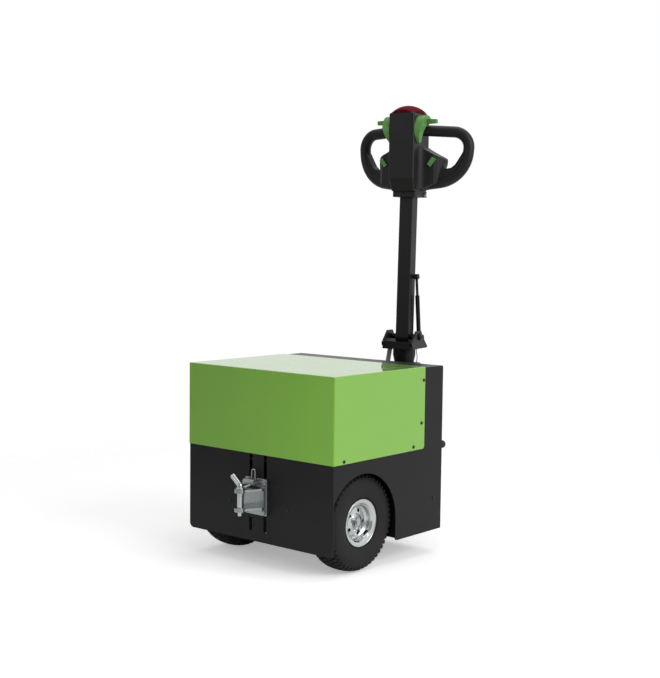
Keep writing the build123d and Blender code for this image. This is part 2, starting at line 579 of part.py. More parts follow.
# Shoulders: outline from the front cut to a plan that sweeps back, and a web along the loop
SHOULDER = (
    (30, 3), (56, 10), (92, 24), (100, 68), (110, 87), (109, 94), (104, 98), (72, 114), (54, 124),
    (HOUSING_HALF + 1, 132), (30, 134),
)
SHOULDER_PLAN = (
    (68, 1.4), (84, 2), (94, 10), (112, 42), (112, 48), (106, 58), (100, 62), (30, 62), (30, -26),
    (HOUSING_HALF, -26),
)
SHOULDER_COVE = (48.5, -6.5)
WEB = (
    (80, 20), (114, 30), (142, 48), (162, 76), (170, 118), (163, 118), (150, 96), (139, 79), (127, 69.5),
    (110, 67), (94, 66),
)
WEB_HALF = 11.0
for side in (-1, 1):
    outline = [(side * u, COLLAR_TOP + z) for u, z in SHOULDER]
    shoulder = prism_y(outline, SHOULDER_PLAN[-1][1], SHOULDER_V[1])
    corners = [(side * u, SHOULDER_V[0] + v, COLLAR_TOP) for u, v in SHOULDER_PLAN]
    cove_middle = (side * SHOULDER_COVE[0], SHOULDER_V[0] + SHOULDER_COVE[1], COLLAR_TOP)
    cove = ThreePointArc(corners[-1], cove_middle, corners[0])
    plan = make_face([Line(p, q) for p, q in zip(corners, corners[1:])] + [cove])
    shoulder = shoulder & extrude(plan, amount=HOUSING_TOP - COLLAR_TOP, dir=(0, 0, 1))
    web = prism_y([(side * s, COLLAR_TOP + z) for s, z in WEB], -WEB_HALF, WEB_HALF)
    web = Pos(0, LOOP_V, 0) * Rot(0, 0, side * LOOP_SWEEP) * web
    housing = housing + shoulder + web
sweep_cos = cos(radians(LOOP_SWEEP))
sweep_sin = sin(radians(LOOP_SWEEP))
LOOP_PATH = ((24, BAR_Z), (183, BAR_Z - 8), (170, BAR_Z - 145), (24, BAR_Z - 164))
for side in (-1, 1):
    points = [(side * s * sweep_cos, LOOP_V + s * sweep_sin, z) for s, z in LOOP_PATH]
    loop = bar(points, LOOP_R, (45, 98))
    loop = loop - housing - collar
    name = "left" if side < 0 else "right"
    pieces = sorted(loop.solids(), key=lambda s: s.volume)
    add_steered("grip_loop_" + name, pieces[-1])
add_steered("head_housing", housing)
add_steered("belly_button", button)
root_v = LOOP_V + HOUSING_HALF * sweep_sin / sweep_cos
# Crescent of a lever seen from the side: start, middle and end of its outer and inner arcs
LEVER_ARCS = ((-2, 35), (-67, -3), (-38, -42), (-31, -37), (-38, -6), (-4, 21))
levers = []
for side in (-1, 1):
    u = side * HOUSING_HALF
    corners = [(u, root_v + v, BAR_Z + z) for v, z in LEVER_ARCS]
    outline = [
        ThreePointArc(corners[0], corners[1], corners[2]), Line(corners[2], corners[3]),
        ThreePointArc(corners[3], corners[4], corners[5]), Line(corners[5], corners[0]),
    ]
    lever = extrude(make_face(outline), amount=LEVER_T, dir=(side, 0, 0))
    taper = ((0, 40), (LEVER_T, 40), (LEVER_T - 2, 5), (15, -18), (4, -46), (0, -46))
    lever = lever & prism_y([(u + side * t, BAR_Z + z) for t, z in taper], root_v - 80, root_v + 20)
    tab_root = u + side * 3
    tab_end = side * TAB_END
    tab = prism_y([(tab_root, BAR_Z + 16), (tab_end, BAR_Z + 17), (tab_end, BAR_Z + 28),
                   (tab_root, BAR_Z + 32)], -14, 20)
    tab_plan = [(tab_root, -2), (tab_end, -11), (tab_end, 2), (tab_root, 15)]
    tab = tab & prism_z(tab_plan, BAR_Z, BAR_Z + 40)
    tab = fillet(at_edges(tab, Axis.Z, [(tab_end, -11, None), (tab_end, 2, None)]), 4)
    levers.append(lever + tab)
add_steered("thumb_levers", Compound(children=levers))
keys = []
for side in (-1, 1):
    key = Pos(side * KEY_U, SHOULDER_V[0] + 3.5, KEY_Z) * Rot(0, side * 36, 0) * Box(*KEY)
    key = key - housing
    keys.append(key)
add_steered("push_buttons", Compound(children=keys))

# Hitch: back plate, folded clevis with ring eyes, drop pin and its spring keeper
plate = block((-HITCH_HALF, HITCH_HALF), (-HITCH_T, 0), HITCH_Z)
plate = fillet(plate.edges().filter_by(Axis.Y), 6)
add("hitch_plate", plate)
inset = (JAW_T - JAW_PLATE) / 2
clevis = block((-JAW_ROOT, JAW_ROOT), (-2 * HITCH_T, -HITCH_T), (JAW_LOW + inset, JAW_HIGH + JAW_T - inset))
jaw_back = -2 * HITCH_T + 2
jaw_neck = -2 * HITCH_T - 6
for z in (JAW_LOW, JAW_HIGH):
    jaw = prism_z([(-JAW_ROOT, jaw_back), (JAW_ROOT, jaw_back), (JAW_ROOT, jaw_neck),
                   (JAW_EYE - 1, PIN_Y), (1 - JAW_EYE, PIN_Y), (-JAW_ROOT, jaw_neck)],
                  z + inset, z + JAW_T - inset)
    jaw = jaw + rod("z", z, z + JAW_T, JAW_EYE, (0, PIN_Y))
    clevis = clevis + jaw
clevis = clevis - rod("z", JAW_LOW - 5, JAW_HIGH + JAW_T + 5, PIN_R + PIN_FIT, (0, PIN_Y))
add("hitch_clevis", clevis)
jaw_top = JAW_HIGH + JAW_T
drop_pin = bar([(0, PIN_Y, PIN_STEP), (0, PIN_Y, jaw_top + 9), (-27, PIN_Y, jaw_top + 32)], PIN_R, [9])
drop_pin = drop_pin + rod("z", PIN_END, PIN_STEP + 1, PIN_TIP_R, (0, PIN_Y))
drop_pin = drop_pin + rod("z", jaw_top + 0.3, jaw_top + 4.3, PIN_R + 4, (0, PIN_Y))
add("hitch_pin", drop_pin)
coil_y = -HITCH_T - COIL_R
coil_z = HITCH_Z[1] - COIL_R - 3
keeper = rod("x", -32, 6, COIL_R, (coil_y, coil_z))
for x in (-36, 6):
    keeper = keeper + block((x, x + 4), (coil_y - 4, -HITCH_T), (coil_z - 4, coil_z + 4))
wire_y = -HITCH_T - WIRE_R
wire_top = HITCH_Z[1] + 22
wire_path = [(-13, wire_y, coil_z), (-13, wire_y, wire_top), (-1, wire_y, wire_top), (-1, wire_y, coil_z)]
wire = bar(wire_path, WIRE_R, [5, 5])
add("hitch_keeper", keeper + wire)

# The middle of the whole length is the origin of the shared frame
boxes = [solid.bounding_box() for solid in nodes.values()]
ORIGIN_Y = round((min(box.min.Y for box in boxes) + max(box.max.Y for box in boxes)) / 2, 2)

os.makedirs("parts", exist_ok=True)
for name, solid in nodes.items():
    export_step(Pos(0, -ORIGIN_Y, 0) * solid, "parts/" + name + ".step")
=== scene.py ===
"""Looks of a walked-behind electric tow tractor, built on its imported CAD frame.

Lengths are in metres, in the frame of the CAD model: Z is up and the hitch looks to -Y.
"""
import json
from math import atan2, cos, pi, radians, sin, sqrt

import bpy
from mathutils import Matrix, Vector


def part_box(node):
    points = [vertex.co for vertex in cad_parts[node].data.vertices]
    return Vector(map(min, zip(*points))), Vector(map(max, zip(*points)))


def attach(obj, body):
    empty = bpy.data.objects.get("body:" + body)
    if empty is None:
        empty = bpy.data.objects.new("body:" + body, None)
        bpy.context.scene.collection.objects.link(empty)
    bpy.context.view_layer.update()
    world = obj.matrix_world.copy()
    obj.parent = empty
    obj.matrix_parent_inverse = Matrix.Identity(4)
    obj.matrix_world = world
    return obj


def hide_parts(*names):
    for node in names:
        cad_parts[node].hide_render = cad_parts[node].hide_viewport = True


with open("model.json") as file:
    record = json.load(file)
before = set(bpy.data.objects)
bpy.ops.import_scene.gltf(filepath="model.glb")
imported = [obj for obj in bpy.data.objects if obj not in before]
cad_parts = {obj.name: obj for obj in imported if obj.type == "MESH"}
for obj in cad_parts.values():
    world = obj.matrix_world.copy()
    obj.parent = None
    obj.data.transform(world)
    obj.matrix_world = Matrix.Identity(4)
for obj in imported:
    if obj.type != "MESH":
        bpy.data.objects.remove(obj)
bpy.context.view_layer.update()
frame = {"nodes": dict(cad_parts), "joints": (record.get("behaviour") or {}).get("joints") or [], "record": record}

bl_info = {
    "name": "Tow Tractor Looks",
    "version": (1, 0, 0),
    "blender": (4, 5, 0),
    "location": "View3D > Sidebar > Tow Tractor",
    "description": "Dresses the CAD frame of a walked-behind electric tow tractor",
    "category": "Object",
}

JOINTS = {joint["name"]: joint for joint in frame["joints"]}
NODES = frame["nodes"]
STEER_AT = Vector(JOINTS["steering_turn"]["pos_m"])
WHEEL_AXIS = JOINTS["steer_wheel_spin"]["axis"]
REST_YAW = atan2(WHEEL_AXIS[1], WHEEL_AXIS[0])
LEFT_WHEEL = Vector(JOINTS["left_wheel_spin"]["pos_m"])
RIGHT_WHEEL = Vector(JOINTS["right_wheel_spin"]["pos_m"])
FRONT_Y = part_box("front_plate")[0].y
MM = 0.001

# Settings of the modelling tools: lengths in metres, bends in degrees for each ring
SEED_SIZE = 0.001
MERGE_GAP = 0.00002
BEND_STEP = 4
BEND_STEPS_MIN = 3
END_SLACK = 1.01
LEVEL = 0.99
WIRE_SIDES = 8

# Socket screw, as shares of its head's radius
SCREW_HEIGHT = 0.55
SCREW_ROUNDING = 0.4
SOCKET_RIM = 0.16
SOCKET_DRAFT = 0.02
SOCKET_DEPTH = 0.3

# Hexagon bolt with its washer, as shares of the width across flats
BOLT_HEIGHT = 0.42
BOLT_CHAMFER = 0.06
BOLT_LIFT = 0.12
WASHER_R = 0.62
WASHER_HEIGHT = 0.13
WASHER_ROUNDING = 0.025


def steered(u, v, z):
    """Point drawn about the steering axis, turned to the rest yaw."""
    x = u * cos(REST_YAW) - v * sin(REST_YAW)
    y = u * sin(REST_YAW) + v * cos(REST_YAW)
    return Vector((STEER_AT.x + x, STEER_AT.y + y, z))


def steered_way(u, v, z):
    """Direction drawn about the steering axis, turned to the rest yaw."""
    return steered(u, v, z) - Vector((STEER_AT.x, STEER_AT.y, 0))


# Tools for modelling


def clear_selection():
    """Leave edit mode and select nothing."""
    if bpy.context.object and bpy.context.object.mode != "OBJECT":
        bpy.ops.object.mode_set(mode="OBJECT")
    bpy.ops.object.select_all(action="DESELECT")


def hold(piece):
    """Make a piece the only selected and active one."""
    clear_selection()
    piece.select_set(True)
    bpy.context.view_layer.objects.active = piece


def edit_all(piece, kind="FACE"):
    """Open a piece in edit mode with everything selected."""
    hold(piece)
    bpy.ops.object.mode_set(mode="EDIT")
    bpy.ops.mesh.select_mode(type=kind)
    bpy.ops.mesh.select_all(action="SELECT")


def edit_faces(piece, test):
    """Open a piece in edit mode with the faces selected that pass the test."""
    hold(piece)
    mesh = piece.data
    for vertex in mesh.vertices:
        vertex.select = False
    for edge in mesh.edges:
        edge.select = False
    chosen = 0
    for face in mesh.polygons:
        face.select = bool(test(face.center, face.normal))
        chosen += face.select
    if not chosen:
        raise RuntimeError("no face of " + piece.name + " fits the test")
    bpy.context.tool_settings.mesh_select_mode = (False, False, True)
    bpy.ops.object.mode_set(mode="EDIT")


def edit_edges(piece, test):
    """Open a piece in edit mode with the edges selected whose two ends pass the test."""
    hold(piece)
    mesh = piece.data
    for face in mesh.polygons:
        face.select = False
    for vertex in mesh.vertices:
        vertex.select = False
    chosen = 0
    for edge in mesh.edges:
        ends = [mesh.vertices[i].co for i in edge.vertices]
        edge.select = bool(test(ends[0], ends[1]))
        chosen += edge.select
    if not chosen:
        raise RuntimeError("no edge of " + piece.name + " fits the test")
    bpy.context.tool_settings.mesh_select_mode = (False, True, False)
    bpy.ops.object.mode_set(mode="EDIT")


def close_edit():
    """Go back to object mode."""
    bpy.ops.object.mode_set(mode="OBJECT")


def settle(piece):
    """Put a piece's place into its mesh."""
    hold(piece)
    bpy.ops.object.transform_apply(location=True, rotation=True, scale=True)


def tidy_normals(piece):
    """Merge doubled points and turn the faces outwards."""
    edit_all(piece)
    bpy.ops.mesh.remove_doubles(threshold=MERGE_GAP)
    bpy.ops.mesh.normals_make_consistent(inside=False)
    close_edit()


def drum(name, radius, depth, sides):
    """Cylinder standing on the origin along Z."""
    clear_selection()
    bpy.ops.mesh.primitive_cylinder_add(
        vertices=sides, radius=radius, depth=depth, location=(0, 0, depth / 2))
    piece = bpy.context.object
    piece.name = name
    settle(piece)
    return piece


def chain(name, points):
    """Row of edges through points, extruded from one vertex.

    It stays in edit mode with its last point selected.
    """
    clear_selection()
    bpy.ops.mesh.primitive_plane_add(size=SEED_SIZE, location=points[0])
    piece = bpy.context.object
    piece.name = name
    settle(piece)
    edit_all(piece, "VERT")
    bpy.ops.mesh.merge(type="CENTER")
    for start, end in zip(points, points[1:]):
        step = Vector(end) - Vector(start)
        bpy.ops.mesh.extrude_region_move(TRANSFORM_OT_translate={"value": step})
    return piece


def spun(name, outline, centre, axis, steps):
    """Closed outline turned once around an axis."""
    piece = chain(name, list(outline) + [outline[0]])
    bpy.ops.mesh.select_all(action="SELECT")
    bpy.ops.mesh.spin(steps=steps, angle=2 * pi, center=centre, axis=axis)
    close_edit()
    tidy_normals(piece)
    return piece


def tube(name, start, way, radius, sides, moves):
    """Tube drawn by a ring that runs straight or bends.

    A straight move is (length,), a bend is (degrees, bend radius, side to bend to).
    """
    clear_selection()
    turned = Vector(way).to_track_quat("Z", "Y").to_euler()
    bpy.ops.mesh.primitive_circle_add(
        vertices=sides, radius=radius, location=start, rotation=turned, fill_type="NGON")
    piece = bpy.context.object
    piece.name = name
    settle(piece)
    edit_all(piece)
    place = Vector(start)
    way = Vector(way).normalized()
    for move in moves:
        if len(move) == 1:
            bpy.ops.mesh.extrude_region_move(TRANSFORM_OT_translate={"value": way * move[0]})
            place = place + way * move[0]
        else:
            angle = radians(move[0])
            side = Vector(move[2]).normalized()
            centre = place + side * move[1]
            axis = way.cross(side)
            steps = max(BEND_STEPS_MIN, int(move[0] / BEND_STEP))
            bpy.ops.mesh.spin(steps=steps, angle=-angle, center=centre, axis=axis)
            turn = Matrix.Rotation(angle, 3, axis)
            place = centre + turn @ (place - centre)
            way = turn @ way
    close_edit()
    tidy_normals(piece)
    miss = min((vertex.co - place).length for vertex in piece.data.vertices)
    if miss > radius * END_SLACK:
        raise RuntimeError("tube " + name + " ends away from its path")
    return piece


def joined(first, others):
    """Join pieces into the first."""
    hold(first)
    for other in others:
        other.select_set(True)
    bpy.ops.object.join()
    return first


def copied(piece, name, place):
    """Copy of a piece with its own mesh, moved by a matrix."""
    hold(piece)
    bpy.ops.object.duplicate(linked=False)
    twin = bpy.context.object
    twin.name = name
    twin.matrix_world = place @ twin.matrix_world
    settle(twin)
    return twin


def removed(piece):
    """Delete a pattern piece that only served for copies."""
    hold(piece)
    bpy.ops.object.delete()


def aimed(point, way, turn=0.0):
    """Matrix that stands something drawn along +Z on a point, along a direction."""
    turned = Vector(way).to_track_quat("Z", "Y").to_matrix().to_4x4()
    return Matrix.Translation(Vector(point)) @ turned @ Matrix.Rotation(turn, 4, "Z")


def bevel_all(piece, width, segments=2, angle=30):
    """Round the sharp edges of a piece with an applied bevel."""
    hold(piece)
    modifier = piece.modifiers.new("edge_round", "BEVEL")
    modifier.width = width
    modifier.segments = segments
    modifier.limit_method = "ANGLE"
    modifier.angle_limit = radians(angle)
    bpy.ops.object.modifier_apply(modifier=modifier.name)


def done(piece, body, material, angle=35):
    """Give a finished piece its shading, finish and body."""
    hold(piece)
    bpy.ops.object.shade_smooth_by_angle(angle=radians(angle))
    piece.data.materials.clear()
    piece.data.materials.append(material)
    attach(piece, body)
    return piece


def socket_screw(radius):
    """Round-headed screw with a socket, standing on the origin along Z."""
    height = radius * SCREW_HEIGHT
    head = drum("screw_pattern", radius, height, 24)
    edit_edges(head, lambda a, b: min(a.z, b.z) > height / 2)
    bpy.ops.mesh.bevel(offset=radius * SCREW_ROUNDING, segments=3, affect="EDGES")
    close_edit()
    edit_faces(head, lambda c, n: n.z > LEVEL and c.length < radius)
    bpy.ops.mesh.inset(thickness=radius * SOCKET_RIM, depth=0)
    bpy.ops.mesh.inset(thickness=radius * SOCKET_DRAFT, depth=-radius * SOCKET_DEPTH)
    close_edit()
    return head


def hex_bolt(across):
    """Hexagon head on a round washer, standing on the origin along Z."""
    height = across * BOLT_HEIGHT
    head = drum("bolt_head", across / sqrt(3), height, 6)
    edit_edges(head, lambda a, b: min(a.z, b.z) > height / 2)
    bpy.ops.mesh.bevel(offset=across * BOLT_CHAMFER, segments=2, affect="EDGES")
    close_edit()
    head.location = (0, 0, across * BOLT_LIFT)
    settle(head)
    washer = drum("bolt_washer", across * WASHER_R, across * WASHER_HEIGHT, 28)
    bevel_all(washer, across * WASHER_ROUNDING, 1)
    return joined(head, [washer])


def wire_ring(middle, radius):
    """Outline of a round wire about its middle, in the XZ plane."""
    ring = []
    for step in range(WIRE_SIDES):
        angle = 2 * pi * step / WIRE_SIDES
        ring.append((middle[0] + radius * cos(angle), middle[1], middle[2] + radius * sin(angle)))
    return ring


def spread(pattern, name, places):
    """Copies of a pattern at several matrices, joined into one piece; the pattern is deleted."""
    copies = [copied(pattern, name, place) for place in places]
    piece = joined(copies[0], copies[1:])
    piece.name = name
    removed(pattern)
    return piece


# Shader groups and finishes

MIN_ROUGH = 0.02
DUST_COLOUR = (0.2, 0.19, 0.17, 1)


def new_group(name, inputs, outputs):
    """Shader group with float inputs and named outputs."""
    group = bpy.data.node_groups.new(name, "ShaderNodeTree")
    for label, default in inputs:
        socket = group.interface.new_socket(label, in_out="INPUT", socket_type="NodeSocketFloat")
        socket.default_value = default
    for label, kind in outputs:
        group.interface.new_socket(label, in_out="OUTPUT", socket_type=kind)
    return group


def grain_group():
    """Fine grain of coats and mouldings: a height for Bump and a soft mask."""
    group = new_group("surface_grain", [("Scale", 900.0), ("Patches", 9.0)],
                      [("Height", "NodeSocketFloat"), ("Patch", "NodeSocketFloat")])
    nodes = group.nodes
    links = group.links
    start = nodes.new("NodeGroupInput")
    end = nodes.new("NodeGroupOutput")
    place = nodes.new("ShaderNodeTexCoord")
    fine = nodes.new("ShaderNodeTexNoise")
    fine.inputs["Detail"].default_value = 2.0
    broad = nodes.new("ShaderNodeTexNoise")
    broad.inputs["Detail"].default_value = 4.0
    broad.inputs["Roughness"].default_value = 0.6
    links.new(place.outputs["Object"], fine.inputs["Vector"])
    links.new(place.outputs["Object"], broad.inputs["Vector"])
    links.new(start.outputs["Scale"], fine.inputs["Scale"])
    links.new(start.outputs["Patches"], broad.inputs["Scale"])
    links.new(fine.outputs["Fac"], end.inputs["Height"])
    links.new(broad.outputs["Fac"], end.inputs["Patch"])
    return group


def dust_group():
    """Dust that gathers low down: a mask from height and noise."""
    group = new_group("low_dust", [("Top", 0.25), ("Amount", 0.5)], [("Mask", "NodeSocketFloat")])
    nodes = group.nodes
    links = group.links
    start = nodes.new("NodeGroupInput")
    end = nodes.new("NodeGroupOutput")
    place = nodes.new("ShaderNodeTexCoord")
    split = nodes.new("ShaderNodeSeparateXYZ")
    level = nodes.new("ShaderNodeMapRange")
    noise = nodes.new("ShaderNodeTexNoise")
    noise.inputs["Scale"].default_value = 26.0
    noise.inputs["Detail"].default_value = 6.0
    both = nodes.new("ShaderNodeMath")
    both.operation = "MULTIPLY"
    scaled = nodes.new("ShaderNodeMath")
    scaled.operation = "MULTIPLY"
    links.new(place.outputs["Object"], split.inputs["Vector"])
    links.new(place.outputs["Object"], noise.inputs["Vector"])
    links.new(split.outputs["Z"], level.inputs["Value"])
    links.new(start.outputs["Top"], level.inputs["From Min"])
    level.inputs["From Max"].default_value = 0.0
    links.new(level.outputs["Result"], both.inputs[0])
    links.new(noise.outputs["Fac"], both.inputs[1])
    links.new(both.outputs[0], scaled.inputs[0])
    links.new(start.outputs["Amount"], scaled.inputs[1])
    links.new(scaled.outputs[0], end.inputs["Mask"])
    return group


def finish(name, colour, rough, metal=0.0, grain=900.0, bump=0.02, scatter=0.06, coat=0.0,
           dust=0.0, shift=0.06, shine=0.5, edge=0.0):
    """Material with a grained bump and soft patches in colour and gloss.

    It can have rounded edges and a veil of dust; bump and edge are in millimetres.
    """
    material = bpy.data.materials.new(name)
    material.use_nodes = True
    nodes = material.node_tree.nodes
    links = material.node_tree.links
    shader = nodes["Principled BSDF"]
    shader.inputs["Metallic"].default_value = metal
    shader.inputs["Coat Weight"].default_value = coat
    shader.inputs["Specular IOR Level"].default_value = shine
    shader.inputs["Coat Roughness"].default_value = 0.03
    surface = nodes.new("ShaderNodeGroup")
    surface.node_tree = bpy.data.node_groups["surface_grain"]
    surface.inputs["Scale"].default_value = grain
    gloss = nodes.new("ShaderNodeMapRange")
    gloss.inputs["From Min"].default_value = 0.3
    gloss.inputs["From Max"].default_value = 0.7
    gloss.inputs["To Min"].default_value = max(MIN_ROUGH, rough - scatter)
    gloss.inputs["To Max"].default_value = min(1.0, rough + scatter)
    links.new(surface.outputs["Patch"], gloss.inputs["Value"])
    links.new(gloss.outputs["Result"], shader.inputs["Roughness"])
    tint = nodes.new("ShaderNodeMix")
    tint.data_type = "RGBA"
    tint.inputs["A"].default_value = [c * (1 - shift) for c in colour] + [1]
    tint.inputs["B"].default_value = [min(1, c * (1 + shift)) for c in colour] + [1]
    links.new(surface.outputs["Patch"], tint.inputs["Factor"])
    last = tint.outputs["Result"]
    if dust:
        veil = nodes.new("ShaderNodeGroup")
        veil.node_tree = bpy.data.node_groups["low_dust"]
        veil.inputs["Amount"].default_value = dust
        mix = nodes.new("ShaderNodeMix")
        mix.data_type = "RGBA"
        mix.inputs["B"].default_value = DUST_COLOUR
        links.new(veil.outputs["Mask"], mix.inputs["Factor"])
        links.new(last, mix.inputs["A"])
        last = mix.outputs["Result"]
    links.new(last, shader.inputs["Base Color"])
    relief = nodes.new("ShaderNodeBump")
    relief.inputs["Strength"].default_value = 1.0
    relief.inputs["Distance"].default_value = bump * MM
    links.new(surface.outputs["Height"], relief.inputs["Height"])
    links.new(relief.outputs["Normal"], shader.inputs["Normal"])
    if edge:
        rounding = nodes.new("ShaderNodeBevel")
        rounding.samples = 4
        rounding.inputs["Radius"].default_value = edge * MM
        links.new(rounding.outputs["Normal"], relief.inputs["Normal"])
        links.new(rounding.outputs["Normal"], shader.inputs["Coat Normal"])
    return material


def paint(name):
    """Finish by its name."""
    return bpy.data.materials[name]


FINISH_OF_SLOT = {
    "hood_paint": "green_coat",
    "body_paint": "black_coat",
    "battery_case": "black_moulding",
    "cast_metal": "cast_grey",
    "motor_paint": "motor_black",
    "tyre_rubber": "tyre_black",
    "zinc": "bright_zinc",
    "shaft_steel": "turned_steel",
    "buffer_rubber": "soft_rubber",
    "steer_rubber": "tyre_black",
    "hub_grey": "cast_grey",
    "conduit": "soft_rubber",
    "spring_paint": "black_coat",
    "column_paint": "black_coat",
    "head_plastic": "black_moulding",
    "red_plastic": "dark_red",
    "green_plastic": "lever_green",
}


class TractorColours(bpy.types.PropertyGroup):
    """Colours of the tractor's finishes."""

    hood: bpy.props.FloatVectorProperty(
        name="Hood", description="Green coat of the hood", subtype="COLOR", size=3,
        default=(0.221, 0.495, 0.054), min=0, max=1)
    body: bpy.props.FloatVectorProperty(
        name="Body", description="Black coat of plates, fork and column", subtype="COLOR", size=3,
        default=(0.0112, 0.0113, 0.0118), min=0, max=1)
    moulding: bpy.props.FloatVectorProperty(
        name="Mouldings", description="Black plastic of the tiller head", subtype="COLOR", size=3,
        default=(0.0115, 0.0116, 0.0122), min=0, max=1)
    tyre: bpy.props.FloatVectorProperty(
        name="Tyres", description="Rubber of the tyres", subtype="COLOR", size=3,
        default=(0.0148, 0.0148, 0.0152), min=0, max=1)
    zinc: bpy.props.FloatVectorProperty(
        name="Zinc", description="Plating of the rims and the hitch", subtype="COLOR", size=3,
        default=(0.62, 0.65, 0.655), min=0, max=1)
    lever: bpy.props.FloatVectorProperty(
        name="Levers", description="Green plastic of the thumb levers", subtype="COLOR", size=3,
        default=(0.11, 0.288, 0.07), min=0, max=1)
    belly: bpy.props.FloatVectorProperty(
        name="Belly button", description="Red plastic of the safety button", subtype="COLOR", size=3,
        default=(0.11, 0.002, 0.008), min=0, max=1)


class TractorSizes(bpy.types.PropertyGroup):
    """Sizes of the pieces that are added to the CAD frame."""

    lug_height: bpy.props.FloatProperty(
        name="Lug height", description="Height of the tread blocks", default=0.0035, min=0.002, max=0.008,
        unit="LENGTH")
    lug_count: bpy.props.IntProperty(
        name="Lug count", description="Tread blocks around a drive tyre", default=50, min=24, max=90)
    hood_screw: bpy.props.FloatProperty(
        name="Hood screw", description="Radius of the hood's screw heads", default=0.0046, min=0.003,
        max=0.01, unit="LENGTH")
    hitch_bolt: bpy.props.FloatProperty(
        name="Hitch bolt", description="Width of the hitch's bolt heads across flats", default=0.013,
        min=0.01, max=0.02, unit="LENGTH")


# Colours of finishes that have no setting, and how far the hitch's zinc is darkened below the rims' zinc as
# painted shade
RUBBER_BLACK = (0.016, 0.016, 0.017)
SLEEVE_GREY = (0.3, 0.3, 0.305)
# Pale, half-metallic plating of the keeper arm: zinc plating whose paleness is partly a painted highlight.
PALE_PLATING_PAINTED_GLINT = (0.8, 0.81, 0.81)
STEEL_GREY = (0.5, 0.51, 0.52)
STEEL_BLACK = (0.035, 0.035, 0.037)
CASTING_GREY = (0.32, 0.33, 0.34)
MOTOR_COLOUR = (0.03, 0.03, 0.032)
ZINC_SHADE_SHARE = 0.62


class TRACTOR_OT_finishes(bpy.types.Operator):
    """Make the finishes and put them on the CAD nodes"""

    bl_idname = "tractor.finishes"
    bl_label = "Finishes"

    def execute(self, context):
        colours = context.scene.tractor_colours
        grain_group()
        dust_group()
        finish("green_coat", colours.hood, 0.34, grain=700, bump=0.001, shift=0.02, shine=0.2,
               coat=1.0, edge=1.5)
        finish("black_coat", colours.body, 0.36, grain=1100, bump=0.012, dust=0.03, shine=0.18, edge=1.0)
        finish("black_moulding", colours.moulding, 0.45, grain=1500, bump=0.02, shine=0.25, edge=2.0)
        finish("tyre_black", colours.tyre, 0.68, grain=800, bump=0.03, dust=0.05, shine=0.22)
        finish("soft_rubber", RUBBER_BLACK, 0.6, grain=900, bump=0.02, shine=0.3)
        finish("sleeve_grey", SLEEVE_GREY, 0.55, grain=900, bump=0.02, shine=0.35)
        finish("bright_zinc", colours.zinc, 0.2, metal=1.0, grain=500, bump=0.01, scatter=0.08,
               shift=0.14, edge=0.6)
        # The hitch's zinc is a darker copy of the rims' zinc: painted shade in its colour.
        shaded_zinc_colour = [ZINC_SHADE_SHARE * c for c in colours.zinc]
        finish("shaded_zinc", shaded_zinc_colour, 0.27, metal=1.0, grain=500, bump=0.02, scatter=0.09,
               shift=0.18, edge=0.8)
        # The keeper arm's zinc is made pale and half-metallic so it reads bright: real plating, partly a painted
        # highlight.
        finish("pale_zinc_painted_glint", PALE_PLATING_PAINTED_GLINT, 0.5, metal=0.3, grain=500, bump=0.01, shift=0.1)
        finish("turned_steel", STEEL_GREY, 0.3, metal=1.0, grain=900, bump=0.01)
        finish("dark_steel", STEEL_BLACK, 0.38, metal=0.6, grain=900, bump=0.01)
        finish("cast_grey", CASTING_GREY, 0.5, metal=0.8, grain=600, bump=0.05, dust=0.25, edge=1.5)
        finish("motor_black", MOTOR_COLOUR, 0.5, grain=700, bump=0.03, dust=0.3)
        finish("dark_red", colours.belly, 0.5, grain=1200, bump=0.01, shine=0.02)
        finish("lever_green", colours.lever, 0.4, grain=1300, bump=0.015, shine=0.3, edge=1.5)
        slot_of = {part["node"]: part["material_slot"] for part in frame["record"]["subparts"]}
        for name, node in NODES.items():
            node.data.materials.clear()
            # Hitch parts other than the drop pin take the darker zinc copy, which is painted shade.
            shaded_hitch = name.startswith("hitch") and name != "hitch_pin"
            node.data.materials.append(paint("shaded_zinc" if shaded_hitch else FINISH_OF_SLOT[slot_of[name]]))
        return {"FINISHED"}


# Half outline of a drive tyre with its tread floor: axial place and radius in millimetres, from the bead on
TYRE_HALF = (
    (30.9, 50.2), (32.9, 51.7), (34.1, 56.0), (34.1, 63.4), (37.6, 65.6), (40.4, 67.6), (41.2, 69.4),
    (40.9, 71.0), (42.6, 76.0), (44.1, 84.0), (44.9, 93.0), (44.8, 99.5), (43.9, 105.5), (42.6, 110.0),
    (39.6, 116.3), (34.6, 121.1), (32.4, 122.2), (21.0, 125.5), (19.0, 125.9), (7.6, 126.9), (5.6, 127.0),
)
# Rows of tread blocks: axial and radial middle of the faces in millimetres, and the phase of the row
ROWS = ((37.1, 118.7, 0), (26.7, 123.85, 1), (13.3, 126.4, 0), (0.0, 127.0, 1))
ROW_REACH = 1.2
# Steps of one pitch of the tread: one wide step stays open, the other three make a block
SHARES = (0.12, 0.38, 0.12, 0.38)
LUG_DRAFT = 0.0007


